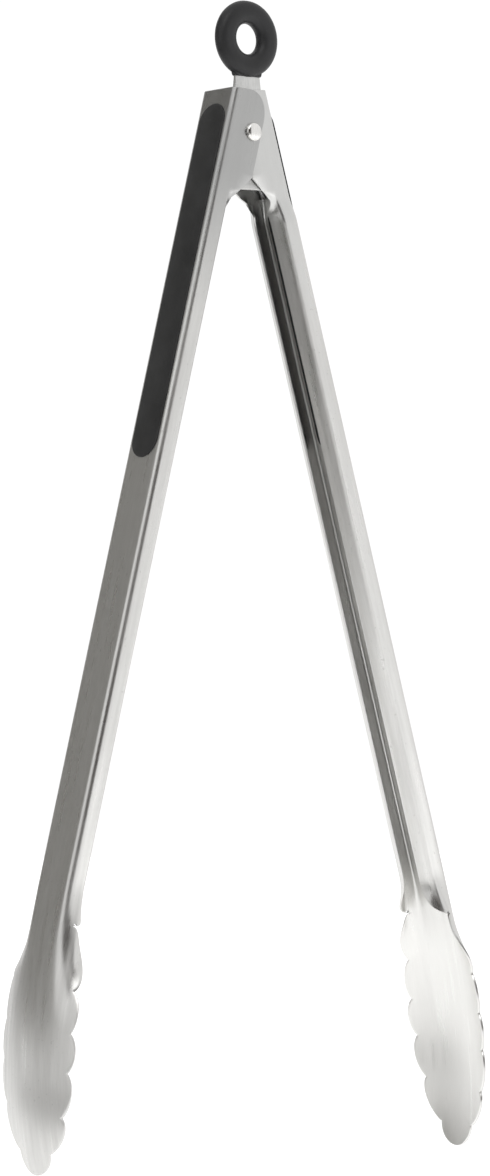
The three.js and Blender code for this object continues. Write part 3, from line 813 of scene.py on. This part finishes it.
def brushed_steel(name, dark, light, rough, brush_scale, along_uv, streak=0.35, bump=0.12,
                  anisotropy=0.45, ears=None, head=None):
    """Steel with brush lines. along_uv uses the sheet's own run; otherwise lines follow Z."""
    mat, tree, shader = material(name)
    coords = add(tree, "ShaderNodeTexCoord")
    place = coords.outputs["UV"] if along_uv else coords.outputs["Object"]
    if along_uv:
        fine = noise(tree, place, 1.0, 4, 0.6, (brush_scale, brush_scale / 10, 1))
        broad = noise(tree, place, 1.0, 2, 0.5, (44, 9, 1))
    else:
        fine = noise(tree, place, 1.0, 4, 0.6, (brush_scale, brush_scale, brush_scale / 10))
        broad = noise(tree, place, 160, 2, 0.5)
    marks = noise(tree, coords.outputs["Object"], 900, 2, 0.4)
    blend = remap(tree, fine, 0.3, 0.7, 0.5 - streak, 0.5 + streak)
    tone = mixed(tree, blend, dark, light)
    soft = remap(tree, broad, 0.3, 0.7, 0.0, 1.0)
    dulled = tuple(c * 0.8 for c in dark[:3]) + (1.0,)
    tone = mixed(tree, remap(tree, broad, 0.35, 0.75, 0.0, 0.3), tone, dulled)
    specks = remap(tree, marks, 0.69, 0.76, 0.0, 0.6)
    tone = mixed(tree, specks, tone, dulled)
    # Painted light: the ears colour is painted shade, and the head colour is a painted reflection
    # on the head's inner face.
    if ears:
        shade = remap(tree, blend, 0.0, 1.0, 0.93, 1.07)
        near = add(tree, "ShaderNodeVectorMath", {0: ears[:3]}, operation="SCALE")
        far = add(tree, "ShaderNodeVectorMath", {0: head[:3]}, operation="SCALE")
        tree.links.new(shade, near.inputs["Scale"])
        tree.links.new(shade, far.inputs["Scale"])
        tone = painted_shade_and_reflection_by_station(tree, place, tone, near.outputs[0], far.outputs[0])
    tree.links.new(tone, shader.inputs["Base Color"])
    shader.inputs["Metallic"].default_value = 1.0
    shader.inputs["Anisotropic"].default_value = anisotropy
    low, high = rough
    grain = add(tree, "ShaderNodeMath", {0: fine, 1: soft}, operation="ADD")
    tree.links.new(remap(tree, grain.outputs[0], 0.5, 1.5, low, high), shader.inputs["Roughness"])
    if along_uv:
        tangent = add(tree, "ShaderNodeTangent", direction_type="UV_MAP", uv_map="sheet")
        tree.links.new(tangent.outputs["Tangent"], shader.inputs["Tangent"])
    relief = add(tree, "ShaderNodeBump", {"Height": fine, "Strength": bump, "Distance": 0.00006})
    dents = add(tree, "ShaderNodeBump", {"Height": marks, "Strength": 0.06, "Distance": 0.00008,
                                         "Normal": relief.outputs["Normal"]})
    tree.links.new(dents.outputs["Normal"], shader.inputs["Normal"])
    return mat


def moulded(name, dark, light, rough, pores, bump, specular=0.35):
    """Rubber or plastic with a fine moulded texture and a few pale specks."""
    mat, tree, shader = material(name)
    coords = add(tree, "ShaderNodeTexCoord")
    place = coords.outputs["Object"]
    broad = noise(tree, place, 90, 3, 0.5)
    fine = noise(tree, place, pores, 3, 0.6)
    dust = noise(tree, place, pores * 0.8, 1, 0.4)
    tone = mixed(tree, remap(tree, broad, 0.3, 0.7, 0, 1), dark, light)
    pale = tuple(min(c * 3.2, 1) for c in light[:3]) + (1.0,)
    tone = mixed(tree, remap(tree, dust, 0.73, 0.8, 0, 0.5), tone, pale)
    tree.links.new(tone, shader.inputs["Base Color"])
    tree.links.new(remap(tree, fine, 0.3, 0.7, *rough), shader.inputs["Roughness"])
    shader.inputs["Specular IOR Level"].default_value = specular
    relief = add(tree, "ShaderNodeBump", {"Height": fine, "Strength": bump, "Distance": 0.0001})
    swell = add(tree, "ShaderNodeBump", {"Height": broad, "Strength": 0.05, "Distance": 0.0003,
                                         "Normal": relief.outputs["Normal"]})
    tree.links.new(swell.outputs["Normal"], shader.inputs["Normal"])
    return mat


# The ears and head colours are painted light. The ears get painted shade, much darker on the left
# arm than on the right though both arms are the same steel, and the head colour is a painted
# reflection paling each head's inside.
LEFT_STEEL = brushed_steel("left_arm_steel_brushed", grey(0.55, 0.545, 0.53),
                           grey(0.7, 0.695, 0.68), (0.26, 0.38), 700, True, 0.24, 0.07,
                           ears=grey(0.4, 0.4, 0.395), head=grey(0.74, 0.735, 0.72))
RIGHT_STEEL = brushed_steel("right_arm_steel_brushed", grey(0.56, 0.555, 0.54),
                            grey(0.72, 0.715, 0.7), (0.26, 0.38), 700, True, 0.24, 0.07,
                            ears=grey(0.58, 0.58, 0.57), head=grey(0.74, 0.735, 0.715))
PLATE_STEEL = brushed_steel("plate_steel_tumbled", grey(0.5, 0.5, 0.49), grey(0.66, 0.66, 0.65),
                            (0.34, 0.5), 2600, False, anisotropy=0.0)
RIVET_STEEL = brushed_steel("rivet_steel_bright", grey(0.66, 0.65, 0.63), grey(0.85, 0.84, 0.82),
                            (0.14, 0.24), 2200, False, bump=0.05, anisotropy=0.0)
SPRING_STEEL = brushed_steel("spring_steel_wire", grey(0.34, 0.34, 0.34), grey(0.5, 0.5, 0.5),
                             (0.25, 0.4), 3000, False, anisotropy=0.0)
RING_RUBBER = moulded("ring_rubber_satin", grey(0.010, 0.010, 0.0105), grey(0.017, 0.017, 0.018),
                      (0.36, 0.5), 2600, 0.22, 0.3)
GRIP_RUBBER = moulded("grip_rubber_matt", grey(0.012, 0.012, 0.012), grey(0.02, 0.02, 0.02),
                      (0.42, 0.58), 3000, 0.3, 0.3)
RETAINER_PLASTIC = moulded("retainer_plastic_matt", grey(0.02, 0.02, 0.02),
                           grey(0.03, 0.03, 0.03), (0.45, 0.6), 2000, 0.2)


def finish_piece(obj, body, node, mat):
    """Gives a piece its material and its body, and hides the CAD node it stands for."""
    obj.data.materials.clear()
    obj.data.materials.append(mat)
    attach(obj, body)
    if node:
        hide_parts(node)
    return obj


# ---- pieces ----
for name, side in (("left", -1), ("right", 1)):
    body = name + "_arm"
    steel = LEFT_STEEL if side < 0 else RIGHT_STEEL
    finish_piece(build_arm(name, side), body, name + "_arm", steel)
    finish_piece(build_grip(name, side), body, name + "_grip", GRIP_RUBBER)
    finish_piece(build_retainer(name, side), body, name + "_grip_retainer",
                 RETAINER_PLASTIC)
finish_piece(build_rivet(), "hinge", "pivot_rivet", RIVET_STEEL)
finish_piece(build_washer(), "hinge", "pivot_washer", RIVET_STEEL)
finish_piece(build_sleeve(), "hinge", "pivot_sleeve", SPRING_STEEL)
coil, legs = build_spring()
finish_piece(coil, "hinge", "torsion_spring", SPRING_STEEL)
for leg, body in zip(legs, ("left_arm", "right_arm")):
    finish_piece(leg, body, "torsion_spring", SPRING_STEEL)
finish_piece(build_lock_plate(), "pull_tab", "lock_plate", PLATE_STEEL)
finish_piece(build_ring(), "pull_tab", "ring_cover", RING_RUBBER)


# ---- camera ----
def place_camera():
    centre = Vector((0, 5.7, -192.1))
    azimuth, elevation, roll = (math.radians(a) for a in (-40.2, -2.2, -0.78))
    back = Vector((math.sin(azimuth) * math.cos(elevation),
                   -math.cos(azimuth) * math.cos(elevation), math.sin(elevation)))
    right = Vector((0, 0, 1)).cross(back).normalized()
    up = back.cross(right)
    across = right * math.cos(roll) + up * math.sin(roll)
    upright = up * math.cos(roll) - right * math.sin(roll)
    distance, shift_right, shift_up = 1800, 0.743, 1.216
    spot = (centre + back * distance + across * shift_right + upright * shift_up) * MM
    data = bpy.data.cameras.new("camera")
    data.lens = 163.1
    data.sensor_width = 36
    data.clip_start = 0.05
    camera = bpy.data.objects.new("camera", data)
    turn = Matrix((across, upright, back)).transposed().to_4x4()
    camera.matrix_world = Matrix.Translation(spot) @ turn
    bpy.context.scene.collection.objects.link(camera)
    bpy.context.scene.camera = camera


# ---- floor and light ----
def build_floor():
    """A wide pale disc under the hanging tongs."""
    z = cad_bounds[0][2] - 0.06
    loops = []
    for radius in (0.02, 0.3, 1.2, 4, 14):
        angles = [2 * math.pi * k / 96 for k in range(96)]
        loops.append([(radius * math.cos(a), radius * math.sin(a), z) for a in angles])
    points, faces = loft(loops, cap=False)
    faces.append(tuple(reversed(range(96))))
    floor = new_object("studio_floor", points, faces)
    mat, tree, shader = material("studio_floor_paper")
    coords = add(tree, "ShaderNodeTexCoord")
    grain = noise(tree, coords.outputs["Object"], 60, 4, 0.5)
    tone = mixed(tree, remap(tree, grain, 0.3, 0.7, 0, 1), grey(0.93, 0.93, 0.93),
                 grey(0.96, 0.96, 0.96))
    tree.links.new(tone, shader.inputs["Base Color"])
    shader.inputs["Roughness"].default_value = 0.9
    shader.inputs["Emission Color"].default_value = grey(1, 1, 1)
    shader.inputs["Emission Strength"].default_value = 0.3
    floor.data.materials.append(mat)


def felt(name, dark, light):
    mat, tree, shader = material(name)
    coords = add(tree, "ShaderNodeTexCoord")
    nap = noise(tree, coords.outputs["Object"], 40, 3, 0.5)
    tree.links.new(mixed(tree, nap, grey(*dark), grey(*light)), shader.inputs["Base Color"])
    shader.inputs["Roughness"].default_value = 1.0
    return mat


def reflection_only(card, mat):
    card.data.materials.append(mat)
    card.visible_camera = False
    card.visible_shadow = False
    card.visible_diffuse = False


def low_flag(x0, x1, y0, y1):
    """Where the pale floor ends on the left, seen only in reflections."""
    z = cad_bounds[0][2] - 0.05
    loops = [[(lerp(x0, x1, i / 6), lerp(y0, y1, j / 6), z) for j in range(7)] for i in range(7)]
    points, faces = loft(loops, closed=False, cap=False)
    card = new_object("low_flag", points, faces)
    reflection_only(card, felt("low_flag_felt", (0.1, 0.097, 0.09), (0.16, 0.155, 0.145)))


def studio_card(name, azimuth, distance, low, high, half_width, dark, light):
    """A curved felt flag that only reflections see, for contrast in the steel."""
    loops = []
    for k in range(25):
        a = math.radians(azimuth + lerp(-half_width, half_width, k / 24))
        loops.append([(distance * math.sin(a), -distance * math.cos(a), lerp(low, high, j / 4))
                      for j in range(5)])
    points, faces = loft(loops, closed=False, cap=False)
    card = new_object(name, points, faces)
    reflection_only(card, felt(name + "_felt", dark, light))


def softbox(name, spot, target, width, height, radiance):
    data = bpy.data.lights.new(name, "AREA")
    data.shape = "RECTANGLE"
    data.size = width
    data.size_y = height
    data.energy = radiance * math.pi * width * height
    light = bpy.data.objects.new(name, data)
    light.location = spot
    light.rotation_euler = (Vector(target) - Vector(spot)).to_track_quat("-Z", "Y").to_euler()
    light.visible_camera = False
    bpy.context.scene.collection.objects.link(light)


def build_world():
    """An even white all round."""
    world = bpy.data.worlds.new("studio")
    world.use_nodes = True
    tree = world.node_tree
    background = tree.nodes["Background"]
    background.inputs["Color"].default_value = grey(1, 1, 1)
    background.inputs["Strength"].default_value = 1.04
    bpy.context.scene.world = world


place_camera()
build_floor()
build_world()
studio_card("front_flag", azimuth=-21, distance=2.2, low=-0.9, high=1.4, half_width=31,
            dark=(0.03, 0.026, 0.023), light=(0.06, 0.052, 0.046))
studio_card("back_left_flag", azimuth=-140, distance=2.2, low=-0.15, high=2.6, half_width=34,
            dark=(0.2, 0.195, 0.185), light=(0.26, 0.255, 0.24))
low_flag(x0=-2.6, x1=-0.5, y0=-1.3, y1=1.6)
softbox("front_right", spot=(0.95, -1.1, -0.62), target=(0, 0, -0.3), width=0.8, height=0.6,
        radiance=1.4)
softbox("key_top", spot=(-0.5, -0.9, 0.9), target=(0, 0, -0.24), width=0.7, height=0.7,
        radiance=2.2)
bpy.context.scene.view_settings.view_transform = "Standard"
bpy.context.scene.view_settings.look = "None"
bpy.context.view_layer.update()
